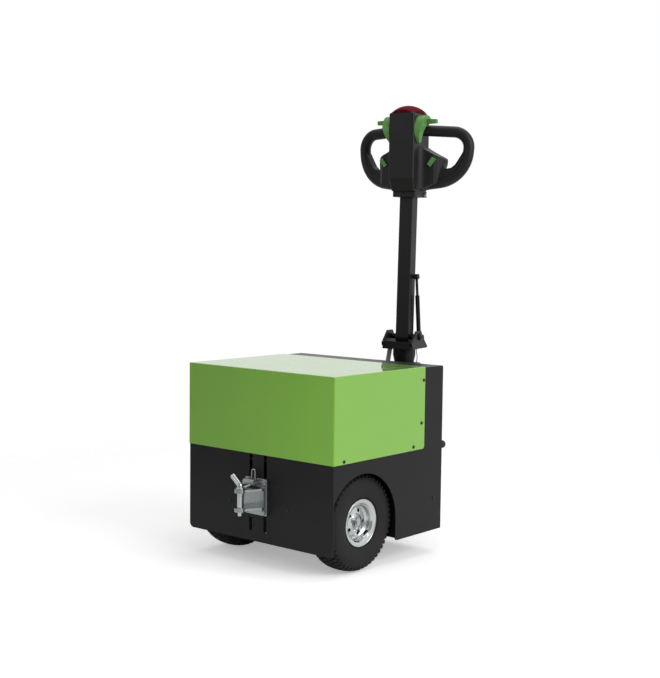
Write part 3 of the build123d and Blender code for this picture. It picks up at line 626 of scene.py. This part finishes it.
class TRACTOR_OT_drive_tyres(bpy.types.Operator):
    """Model one drive tyre with its tread blocks and copy it to the other side"""

    bl_idname = "tractor.drive_tyres"
    bl_label = "Drive Tyres"

    def execute(self, context):
        sizes = context.scene.tractor_sizes
        centre = RIGHT_WHEEL
        half = [(a * MM, r * MM) for a, r in TYRE_HALF]
        outline = half + [(-a, r) for a, r in reversed(half)]
        points = [(centre.x + a, centre.y, centre.z + r) for a, r in outline]
        tyre = chain("tyre_right", points + [points[0]])
        bpy.ops.mesh.select_all(action="SELECT")
        pitch = 2 * pi / sizes.lug_count
        for _ in range(sizes.lug_count):
            for share in SHARES:
                bpy.ops.mesh.spin(steps=1, angle=pitch * share, center=centre, axis=(1, 0, 0))
        close_edit()
        tidy_normals(tyre)
        self.raise_blocks(tyre, centre, pitch, sizes.lug_height)
        for side, body in ((1, "right"), (-1, "left")):
            if side > 0:
                piece = tyre
            else:
                piece = copied(tyre, "tyre_left", Matrix.Translation(LEFT_WHEEL - RIGHT_WHEEL))
            done(piece, body + "_drive_wheel", paint("tyre_black"), 28)
            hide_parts("drive_tyre_" + body)
        return {"FINISHED"}

    def raise_blocks(self, tyre, centre, pitch, height):
        """Inset and raise the faces of the tread that stand as blocks."""

        def is_block(middle, normal):
            axial = abs(middle.x - centre.x) / MM
            radius = sqrt((middle.y - centre.y) ** 2 + (middle.z - centre.z) ** 2) / MM
            phase = None
            for a, r, row_phase in ROWS:
                if abs(axial - a) < ROW_REACH and abs(radius - r) < ROW_REACH:
                    phase = row_phase
            if phase is None:
                return False
            angle = atan2(middle.y - centre.y, middle.z - centre.z) % (2 * pi)
            spot = (angle / pitch + 0.5 * phase) % 1.0
            return spot < SHARES[0] + SHARES[1] + SHARES[2]

        edit_faces(tyre, is_block)
        bpy.ops.mesh.inset(thickness=LUG_DRAFT, depth=height)
        close_edit()


# Rolled ribs of a rim: axial place, radius and bulge
RIM_RIBS = ((0.0372, 0.0618, 0.0014), (0.0295, 0.0468, 0.001), (0.0173, 0.0384, 0.0009))
# Tyre valve: foot, cap and tip, and its place in the rim's well
VALVE_R = 0.0042
VALVE_FOOT = 0.014
VALVE_SHOULDER = 0.0012
VALVE_CAP = 0.009
VALVE_TIP = (0.0008, 0.0006)
VALVE_ROUNDING = 0.0004
VALVE_AXIAL = 0.0255
VALVE_RING = 0.0458
VALVE_TURN = 2.4
VALVE_LEAN = 1.1


class TRACTOR_OT_rim_trims(bpy.types.Operator):
    """Model the rolled ribs and the tyre valve of a rim and copy them to both sides"""

    bl_idname = "tractor.rim_trims"
    bl_label = "Rim Trims"

    def execute(self, context):
        ribs = []
        for axial, radius, bulge in RIM_RIBS:
            ribs.append(spun("rim_rib", wire_ring((axial, 0, radius), bulge), (0, 0, 0), (1, 0, 0), 64))
        rib_pattern = joined(ribs[0], ribs[1:])
        stem_pattern = self.valve()
        for body, centre, yaw in (("right", RIGHT_WHEEL, 0), ("left", LEFT_WHEEL, pi)):
            turn = Matrix.Translation(centre) @ Matrix.Rotation(yaw, 4, "Z")
            rib = copied(rib_pattern, "rim_ribs_" + body, turn)
            done(rib, body + "_drive_wheel", paint("bright_zinc"), 60)
            stem = copied(stem_pattern, "tyre_valve_" + body, turn)
            done(stem, body + "_drive_wheel", paint("soft_rubber"), 40)
        removed(rib_pattern)
        removed(stem_pattern)
        return {"FINISHED"}

    def valve(self):
        """Rubber valve with a cap, leaning out of the rim's well."""
        stem = drum("valve_stem", VALVE_R, VALVE_FOOT, 20)
        edit_faces(stem, lambda c, n: n.z > LEVEL)
        bpy.ops.mesh.inset(thickness=VALVE_SHOULDER, depth=0)
        bpy.ops.mesh.extrude_region_move(TRANSFORM_OT_translate={"value": (0, 0, VALVE_CAP)})
        bpy.ops.mesh.inset(thickness=VALVE_TIP[0], depth=VALVE_TIP[1])
        close_edit()
        bevel_all(stem, VALVE_ROUNDING, 2)
        across = sin(VALVE_TURN)
        up = cos(VALVE_TURN)
        spot = Vector((VALVE_AXIAL, VALVE_RING * across, VALVE_RING * up))
        way = Vector((VALVE_LEAN, -across, -up))
        stem.matrix_world = aimed(spot, way)
        settle(stem)
        return stem


# Screws as (distance behind the front plate, height), or across and height on the front plate
FRONT_SCREW = (0.1045, 0.1637)
HOOD_SCREWS = ((0.038, 0.307), (0.332, 0.310), (0.3665, 0.372), (0.374, 0.489))
HOOD_SINK = 0.0002
PLATE_SCREW = (0.432, 0.155)
COVER_SCREW_X = 0.246
COVER_SCREW_Z = (0.09, 0.2, 0.4, 0.5)
# Bolts of the hitch plate, of the steering bracket's foot and of the gear housing
HITCH_BOLT_X = 0.031
HITCH_BOLT_EDGE = 0.01
HITCH_BOLT_TURN = 0.3
BRACKET_BOLT_X = 0.072
BRACKET_BOLT_Z = (0.016, 0.162)
BRACKET_BOLT_TURN = 0.2
BRACKET_FOOT = 0.008
GEAR_BOLT = 0.008
GEAR_BOLT_X = 0.045
GEAR_BOLT_RING = 0.053
GEAR_BOLTS = 6


class TRACTOR_OT_bolts(bpy.types.Operator):
    """Model the bolt and screw heads once and copy them to their places"""

    bl_idname = "tractor.bolts"
    bl_label = "Bolts and Screws"

    def execute(self, context):
        sizes = context.scene.tractor_sizes
        self.hood_screws(sizes.hood_screw)
        self.hex_bolts(sizes.hitch_bolt)
        return {"FINISHED"}

    def hood_screws(self, radius):
        """Dark screws along the hood, on the side plates, the front plate and the rear cover."""
        pattern = socket_screw(radius)
        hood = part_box("hood")
        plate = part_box("side_plate_right")
        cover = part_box("rear_cover")
        front_x, front_z = FRONT_SCREW
        plate_back, plate_z = PLATE_SCREW
        places = [((side * front_x, FRONT_Y, front_z), (0, -1, 0)) for side in (1, -1)]
        for side in (-1, 1):
            for back, z in HOOD_SCREWS:
                places.append(((side * (hood[1].x - HOOD_SINK), FRONT_Y + back, z), (side, 0, 0)))
            places.append(((side * plate[1].x, FRONT_Y + plate_back, plate_z), (side, 0, 0)))
            for z in COVER_SCREW_Z:
                places.append(((side * COVER_SCREW_X, cover[1].y, z), (0, 1, 0)))
        piece = spread(pattern, "body_screws", [aimed(point, way) for point, way in places])
        done(piece, "chassis", paint("dark_steel"))

    def hex_bolts(self, across):
        """Bolts of the hitch plate, of the steering bracket and of the gear housing."""
        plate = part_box("hitch_plate")
        low = plate[0].z + HITCH_BOLT_EDGE
        high = plate[1].z - HITCH_BOLT_EDGE
        places = []
        for x, z in ((-HITCH_BOLT_X, low), (HITCH_BOLT_X, low), (HITCH_BOLT_X, high)):
            places.append(aimed((x, plate[0].y, z), (0, -1, 0), HITCH_BOLT_TURN))
        piece = spread(hex_bolt(across), "hitch_bolts", places)
        # The hitch bolts take the darker zinc copy, which is painted shade.
        done(piece, "chassis", paint("shaded_zinc"))
        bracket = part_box("steering_bracket")
        places = []
        foot_y = bracket[0].y + BRACKET_FOOT
        for x in (-BRACKET_BOLT_X, BRACKET_BOLT_X):
            for lift in BRACKET_BOLT_Z:
                places.append(aimed((x, foot_y, bracket[0].z + lift), (0, 1, 0), BRACKET_BOLT_TURN))
        piece = spread(hex_bolt(across), "bracket_bolts", places)
        # The bracket bolts take the darker zinc copy, which is painted shade.
        done(piece, "chassis", paint("shaded_zinc"))
        places = []
        for side in (-1, 1):
            for step in range(GEAR_BOLTS):
                angle = 2 * pi * (step + 0.5) / GEAR_BOLTS
                y = RIGHT_WHEEL.y + GEAR_BOLT_RING * cos(angle)
                z = RIGHT_WHEEL.z + GEAR_BOLT_RING * sin(angle)
                places.append(aimed((side * GEAR_BOLT_X, y, z), (side, 0, 0), angle))
        piece = spread(hex_bolt(GEAR_BOLT), "gear_case_bolts", places)
        done(piece, "chassis", paint("turned_steel"))


# Steered wheel: its hub's bolts, and the outline of a spacer beside it
HUB_BOLTS = 5
HUB_BOLT_RING = 0.044
HUB_BOLT_X = 0.009
SMALL_BOLT = 0.01
SPACER = ((0.0272, 0, 0.0105), (0.0338, 0, 0.0105), (0.0338, 0, 0.0145), (0.0331, 0, 0.0152),
          (0.0279, 0, 0.0152), (0.0272, 0, 0.0145))
# Caps of the tilt pin, and clamp bolts of the collar under the tiller head
TILT_CAP_X = 0.054
TILT_CAP_R = 0.0078
CLAMP_X = 0.037
CLAMP_BACK = 0.048
CLAMP_LIFT = 0.008


class TRACTOR_OT_steer_trims(bpy.types.Operator):
    """Model the steered wheel's hub bolts and spacers, the tilt pin's caps and the collar's clamp bolts"""

    bl_idname = "tractor.steer_trims"
    bl_label = "Steering Trims"

    def execute(self, context):
        hub = Vector(JOINTS["steer_wheel_spin"]["pos_m"])
        sides = [Matrix.Translation(hub) @ Matrix.Rotation(REST_YAW + turn, 4, "Z") for turn in (0, pi)]
        places = []
        for side in sides:
            for step in range(HUB_BOLTS):
                angle = 2 * pi * step / HUB_BOLTS
                point = (HUB_BOLT_X, HUB_BOLT_RING * sin(angle), HUB_BOLT_RING * cos(angle))
                places.append(side @ aimed(point, (1, 0, 0)))
        bolts = spread(hex_bolt(SMALL_BOLT), "hub_bolts", places)
        done(bolts, "steer_wheel", paint("turned_steel"))
        pattern = spun("spacer_pattern", SPACER, (0, 0, 0), (1, 0, 0), 40)
        spacers = spread(pattern, "axle_spacers", sides)
        done(spacers, "steering", paint("turned_steel"))
        tilt = JOINTS["tiller_tilt"]["pos_m"][2]
        places = []
        for side in (-1, 1):
            places.append(aimed(steered(side * TILT_CAP_X, 0, tilt), steered_way(side, 0, 0)))
        caps = spread(socket_screw(TILT_CAP_R), "tilt_pin_caps", places)
        done(caps, "steering", paint("dark_steel"))
        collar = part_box("head_collar")
        clamp_z = collar[0].z + CLAMP_LIFT
        places = []
        for side in (-1, 1):
            point = steered(side * CLAMP_X, CLAMP_BACK, clamp_z)
            places.append(aimed(point, steered_way(side, 0, 0)))
        clamps = spread(hex_bolt(SMALL_BOLT), "collar_bolts", places)
        done(clamps, "tiller", paint("turned_steel"))
        return {"FINISHED"}


# Keeper on the hitch: the coil's place, winding and row, and the arm towards the drop pin
COIL_AHEAD = 0.009
COIL_DROP = 0.012
COIL_R = 0.0084
COIL_WIRE_R = 0.0012
COIL_LEAN = 6
COIL_START = -0.0235
COIL_PITCH = 0.0039
COIL_COUNT = 7
ARM_ROOT = (-0.004, -0.0095, -0.005)
ARM_TIP_X = -0.003
ARM_TIP_BEHIND = 0.0155
ARM_FALL = 0.003
ARM_R = 0.002


class TRACTOR_OT_hitch_coil(bpy.types.Operator):
    """Model the windings of the keeper's coil spring, and the arm that it ends in"""

    bl_idname = "tractor.hitch_coil"
    bl_label = "Hitch Coil"

    def execute(self, context):
        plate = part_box("hitch_plate")
        centre = Vector((0, plate[0].y - COIL_AHEAD, plate[1].z - COIL_DROP))
        ring = wire_ring((0, centre.y, centre.z + COIL_R), COIL_WIRE_R)
        pattern = spun("coil_winding", ring, centre, (1, 0, 0), 40)
        edit_all(pattern, "VERT")
        bpy.ops.transform.rotate(value=radians(COIL_LEAN), orient_axis="Z", center_override=centre)
        close_edit()
        shifts = [COIL_START + COIL_PITCH * index for index in range(COIL_COUNT)]
        places = [Matrix.Translation((shift, 0, 0)) for shift in shifts]
        piece = spread(pattern, "keeper_coil", places)
        # The coil takes the darker zinc copy, which is painted shade.
        done(piece, "chassis", paint("shaded_zinc"), 60)
        self.arm(centre)
        return {"FINISHED"}

    def arm(self, coil):
        """Draw the spring's arm from the coil to just behind the drop pin."""
        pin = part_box("hitch_pin")
        root = coil + Vector(ARM_ROOT)
        pin_y = (pin[0].y + pin[1].y) / 2
        tip = Vector((ARM_TIP_X, pin_y + ARM_TIP_BEHIND, root.z - ARM_FALL))
        wire = tube("keeper_arm", root, tip - root, ARM_R, 12, [((tip - root).length,)])
        # The arm takes the pale zinc, which paints part of its highlight into its colour.
        done(wire, "chassis", paint("pale_zinc_painted_glint"), 60)


# Loop grips: corners as (way out, height from the bar), bend radii, sweep in degrees, and the bar's place
GRIP_CORNERS = ((0.03, 0), (0.183, -0.008), (0.17, -0.145), (0.026, -0.164))
GRIP_BENDS = (0.045, 0.098)
GRIP_SWEEP = 17
GRIP_LIFT = 0.181
GRIP_BACK = 0.01
GRIP_R = 0.0165


class TRACTOR_OT_grip_loops(bpy.types.Operator):
    """Draw the loop grips again with smooth bends"""

    bl_idname = "tractor.grip_loops"
    bl_label = "Grip Loops"

    def execute(self, context):
        bar_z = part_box("head_collar")[1].z + GRIP_LIFT
        sweep = radians(GRIP_SWEEP)
        for side, name in ((-1, "left"), (1, "right")):
            points = []
            for s, z in GRIP_CORNERS:
                points.append(steered(side * s * cos(sweep), GRIP_BACK + s * sin(sweep), bar_z + z))
            moves = []
            at = points[0]
            for before, corner, after, bend in zip(points, points[1:], points[2:], GRIP_BENDS):
                back = (before - corner).normalized()
                ahead = (after - corner).normalized()
                half = back.angle(ahead) / 2
                setback = bend * cos(half) / sin(half)
                inward = (back + ahead).normalized()
                side_way = (inward + back * -inward.dot(back)).normalized()
                moves.append((((corner + back * setback) - at).length,))
                moves.append((180 - 2 * half * 180 / pi, bend, side_way))
                at = corner + ahead * setback
            moves.append(((points[-1] - at).length,))
            piece = tube("loop_" + name, points[0], points[1] - points[0], GRIP_R, 36, moves)
            done(piece, "tiller", paint("black_moulding"), 60)
            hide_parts("grip_loop_" + name)
        return {"FINISHED"}


# Cable sleeve: ends about the steering axis, radius of its core, margin at its ends and number of ribs
SLEEVE_LOW = (-0.0445, -0.022, 0.4995)
SLEEVE_HIGH = (-0.0325, -0.031, 0.5455)
SLEEVE_CORE = 0.0035
SLEEVE_END = 0.0005
SLEEVE_RIBS = 9
# Corners of a rib as (share of its pitch, radius)
RIB_CORNERS = ((0.08, 0.0058), (0.3, 0.0072), (0.7, 0.0072), (0.92, 0.0058))
# Thin cable: upper end about the steering axis, radius, lean in degrees, bend, straight runs and way out
CABLE_TOP = (0.036, 0.01, 0.5455)
CABLE_R = 0.0013
CABLE_LEAN = 8
CABLE_BEND = 0.014
CABLE_RUNS = (0.008, 0.016, 0.0161)
CABLE_OUT = (0.9, 0.4, 0)


class TRACTOR_OT_cable_parts(bpy.types.Operator):
    """Model the ribbed cable sleeve and the thin cable at the tiller's foot"""

    bl_idname = "tractor.cable_parts"
    bl_label = "Cable Sleeve"

    def execute(self, context):
        low = steered(*SLEEVE_LOW)
        high = steered(*SLEEVE_HIGH)
        length = (high - low).length
        pitch = (length - 2 * SLEEVE_END) / SLEEVE_RIBS
        outline = [(SLEEVE_CORE, 0, SLEEVE_END)]
        for index in range(SLEEVE_RIBS):
            for share, radius in RIB_CORNERS:
                outline.append((radius, 0, SLEEVE_END + pitch * (index + share)))
        outline.append((SLEEVE_CORE, 0, length - SLEEVE_END))
        sleeve = spun("cable_sleeve", outline, (0, 0, 0), (0, 0, 1), 28)
        sleeve.matrix_world = aimed(low, high - low)
        settle(sleeve)
        done(sleeve, "steering", paint("sleeve_grey"), 50)
        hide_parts("cable_conduit")
        out = steered_way(*CABLE_OUT).normalized()
        lean = radians(CABLE_LEAN)
        inward = out * -cos(lean) + Vector((0, 0, -sin(lean)))
        upper, middle, lower = CABLE_RUNS
        leaving = (CABLE_LEAN, CABLE_BEND, out)
        returning = (2 * CABLE_LEAN, CABLE_BEND, inward)
        moves = [(upper,), leaving, (middle,), returning, (lower,)]
        cable = tube("thin_cable", steered(*CABLE_TOP), (0, 0, -1), CABLE_R, 14, moves)
        done(cable, "steering", paint("sleeve_grey"), 60)
        return {"FINISHED"}


# Lamps: place, point to aim at, size and power
KEY_LAMP = ((3.4, 0.2, 2.2), (0, 0.1, 0.4), 2.4, 75)
FILL_LAMP = ((-1.6, -3.4, 2.0), (0, 0, 0.4), 2.4, 20.5)
CORNER_LAMP = ((0.36, -0.75, 0.42), (0.2, -0.33, 0.41), 0.3, 0.42)
TOP_LAMP = ((0.2, 0.6, 4.0), (0, 0, 0.3), 2.8, 45)
# Floor: size, reach of the fade, and glow for the camera
FLOOR_SIZE = 12
FLOOR_FADE = (0.7, 2.2)
FLOOR_GLOW = 0.36
# World: strength for diffuse light, and range of direction and strength for reflections
DIFFUSE_LEVEL = 0.36
MIRROR_WAY = (-0.75, 0.55)
MIRROR_LEVEL = (0.3, 0.88)
# Camera: directions, place, lens, sensor and farthest distance
CAMERA_AHEAD = (-0.64505453, 0.76011013, -0.07834058)
CAMERA_RIGHT = (0.76181631, 0.64769054, 0.01152764)
CAMERA_AT = (2.220375, FRONT_Y - 2.328874, 0.859534)
CAMERA_LENS = 65.3
CAMERA_SENSOR = 36.0
CAMERA_REACH = 200.0


class TRACTOR_OT_stage(bpy.types.Operator):
    """Set up the floor, the lights, the world and the camera"""

    bl_idname = "tractor.stage"
    bl_label = "Stage"

    def execute(self, context):
        scene = context.scene
        scene.view_settings.view_transform = "Standard"
        self.floor()
        self.world(scene)
        self.lamp("key", *KEY_LAMP)
        fill = self.lamp("fill", *FILL_LAMP)
        self.leave_out_hood(fill)
        corner = self.lamp("corner", *CORNER_LAMP)
        corner.visible_glossy = False
        corner.visible_camera = False
        self.lamp("top", *TOP_LAMP)
        self.camera(scene)
        return {"FINISHED"}

    def floor(self):
        """Pale floor that fades into the white surroundings."""
        clear_selection()
        bpy.ops.mesh.primitive_plane_add(size=FLOOR_SIZE, location=(0, 0, 0))
        floor = bpy.context.object
        floor.name = "floor"
        material = bpy.data.materials.new("pale_floor")
        material.use_nodes = True
        nodes = material.node_tree.nodes
        links = material.node_tree.links
        shader = nodes["Principled BSDF"]
        shader.inputs["Base Color"].default_value = (0.93, 0.93, 0.93, 1)
        shader.inputs["Roughness"].default_value = 0.9
        shader.inputs["Specular IOR Level"].default_value = 0.1
        place = nodes.new("ShaderNodeTexCoord")
        reach = nodes.new("ShaderNodeVectorMath")
        reach.operation = "LENGTH"
        fade = nodes.new("ShaderNodeMapRange")
        fade.interpolation_type = "SMOOTHSTEP"
        fade.inputs["From Min"].default_value = FLOOR_FADE[0]
        fade.inputs["From Max"].default_value = FLOOR_FADE[1]
        fade.inputs["To Min"].default_value = 1.0
        fade.inputs["To Max"].default_value = 0.0
        links.new(place.outputs["Object"], reach.inputs[0])
        links.new(reach.outputs["Value"], fade.inputs["Value"])
        links.new(fade.outputs["Result"], shader.inputs["Alpha"])
        rays = nodes.new("ShaderNodeLightPath")
        glow = nodes.new("ShaderNodeMath")
        glow.operation = "MULTIPLY"
        glow.inputs[1].default_value = FLOOR_GLOW
        links.new(rays.outputs["Is Camera Ray"], glow.inputs[0])
        links.new(glow.outputs["Value"], shader.inputs["Emission Strength"])
        floor.data.materials.append(material)

    def world(self, scene):
        """White surroundings for the camera, softer for diffuse light.

        Reflections see them darker before the tractor than behind it.
        """
        world = bpy.data.worlds.new("studio")
        scene.world = world
        world.use_nodes = True
        nodes = world.node_tree.nodes
        links = world.node_tree.links
        back = nodes["Background"]
        back.inputs["Color"].default_value = (1, 1, 1, 1)
        rays = nodes.new("ShaderNodeLightPath")
        place = nodes.new("ShaderNodeTexCoord")
        split = nodes.new("ShaderNodeSeparateXYZ")
        mirror = nodes.new("ShaderNodeMapRange")
        mirror.interpolation_type = "SMOOTHSTEP"
        mirror.inputs["From Min"].default_value = MIRROR_WAY[0]
        mirror.inputs["From Max"].default_value = MIRROR_WAY[1]
        mirror.inputs["To Min"].default_value = MIRROR_LEVEL[0]
        mirror.inputs["To Max"].default_value = MIRROR_LEVEL[1]
        links.new(place.outputs["Generated"], split.inputs["Vector"])
        links.new(split.outputs["Y"], mirror.inputs["Value"])
        soft = nodes.new("ShaderNodeMix")
        soft.inputs["A"].default_value = DIFFUSE_LEVEL
        links.new(rays.outputs["Is Glossy Ray"], soft.inputs["Factor"])
        links.new(mirror.outputs["Result"], soft.inputs["B"])
        level = nodes.new("ShaderNodeMix")
        level.inputs["B"].default_value = 1.0
        links.new(rays.outputs["Is Camera Ray"], level.inputs["Factor"])
        links.new(soft.outputs["Result"], level.inputs["A"])
        links.new(level.outputs["Result"], back.inputs["Strength"])

    def lamp(self, name, place, target, size, power):
        """Square soft lamp aimed at a point."""
        clear_selection()
        bpy.ops.object.light_add(type="AREA", location=place)
        lamp = bpy.context.object
        lamp.name = name
        lamp.data.size = size
        lamp.data.energy = power
        lamp.rotation_euler = (Vector(target) - Vector(place)).to_track_quat("-Z", "Y").to_euler()
        return lamp

    def leave_out_hood(self, lamp):
        """Keep a lamp's light off the hood."""
        shaded = bpy.data.collections.new("without_" + lamp.name)
        shaded.objects.link(NODES["hood"])
        lamp.light_linking.receiver_collection = shaded
        shaded.collection_objects[0].light_linking.link_state = "EXCLUDE"

    def camera(self, scene):
        """Camera at the photograph's place, fitted to body corners and tyre outlines."""
        clear_selection()
        bpy.ops.object.camera_add()
        camera = bpy.context.object
        ahead = Vector(CAMERA_AHEAD)
        right = Vector(CAMERA_RIGHT)
        above = right.cross(ahead)
        turned = Matrix((right, above, -ahead)).transposed().to_4x4()
        camera.matrix_world = Matrix.Translation(CAMERA_AT) @ turned
        camera.data.lens = CAMERA_LENS
        camera.data.sensor_width = CAMERA_SENSOR
        camera.data.clip_end = CAMERA_REACH
        scene.camera = camera


class TRACTOR_PT_panel(bpy.types.Panel):
    """Lists the steps of the tractor's looks"""

    bl_idname = "TRACTOR_PT_panel"
    bl_label = "Tow Tractor"
    bl_space_type = "VIEW_3D"
    bl_region_type = "UI"
    bl_category = "Tow Tractor"

    def draw(self, context):
        layout = self.layout
        for group in (context.scene.tractor_colours, context.scene.tractor_sizes):
            box = layout.box()
            for key in group.bl_rna.properties.keys():
                if key not in ("rna_type", "name"):
                    box.prop(group, key)
        for step in STEPS:
            layout.operator(step.bl_idname)


STEPS = (
    TRACTOR_OT_finishes,
    TRACTOR_OT_drive_tyres,
    TRACTOR_OT_rim_trims,
    TRACTOR_OT_bolts,
    TRACTOR_OT_steer_trims,
    TRACTOR_OT_hitch_coil,
    TRACTOR_OT_grip_loops,
    TRACTOR_OT_cable_parts,
    TRACTOR_OT_stage,
)
CLASSES = (TractorColours, TractorSizes) + STEPS + (TRACTOR_PT_panel,)


def register():
    """Register the classes and the scene's settings."""
    for item in CLASSES:
        bpy.utils.register_class(item)
    bpy.types.Scene.tractor_colours = bpy.props.PointerProperty(type=TractorColours)
    bpy.types.Scene.tractor_sizes = bpy.props.PointerProperty(type=TractorSizes)


def unregister():
    """Take back what register added."""
    del bpy.types.Scene.tractor_sizes
    del bpy.types.Scene.tractor_colours
    for item in reversed(CLASSES):
        bpy.utils.unregister_class(item)


def main():
    """Run every step."""
    register()
    bpy.ops.tractor.finishes()
    bpy.ops.tractor.drive_tyres()
    bpy.ops.tractor.rim_trims()
    bpy.ops.tractor.bolts()
    bpy.ops.tractor.steer_trims()
    bpy.ops.tractor.hitch_coil()
    bpy.ops.tractor.grip_loops()
    bpy.ops.tractor.cable_parts()
    bpy.ops.tractor.stage()


if __name__ == "__main__":
    main()
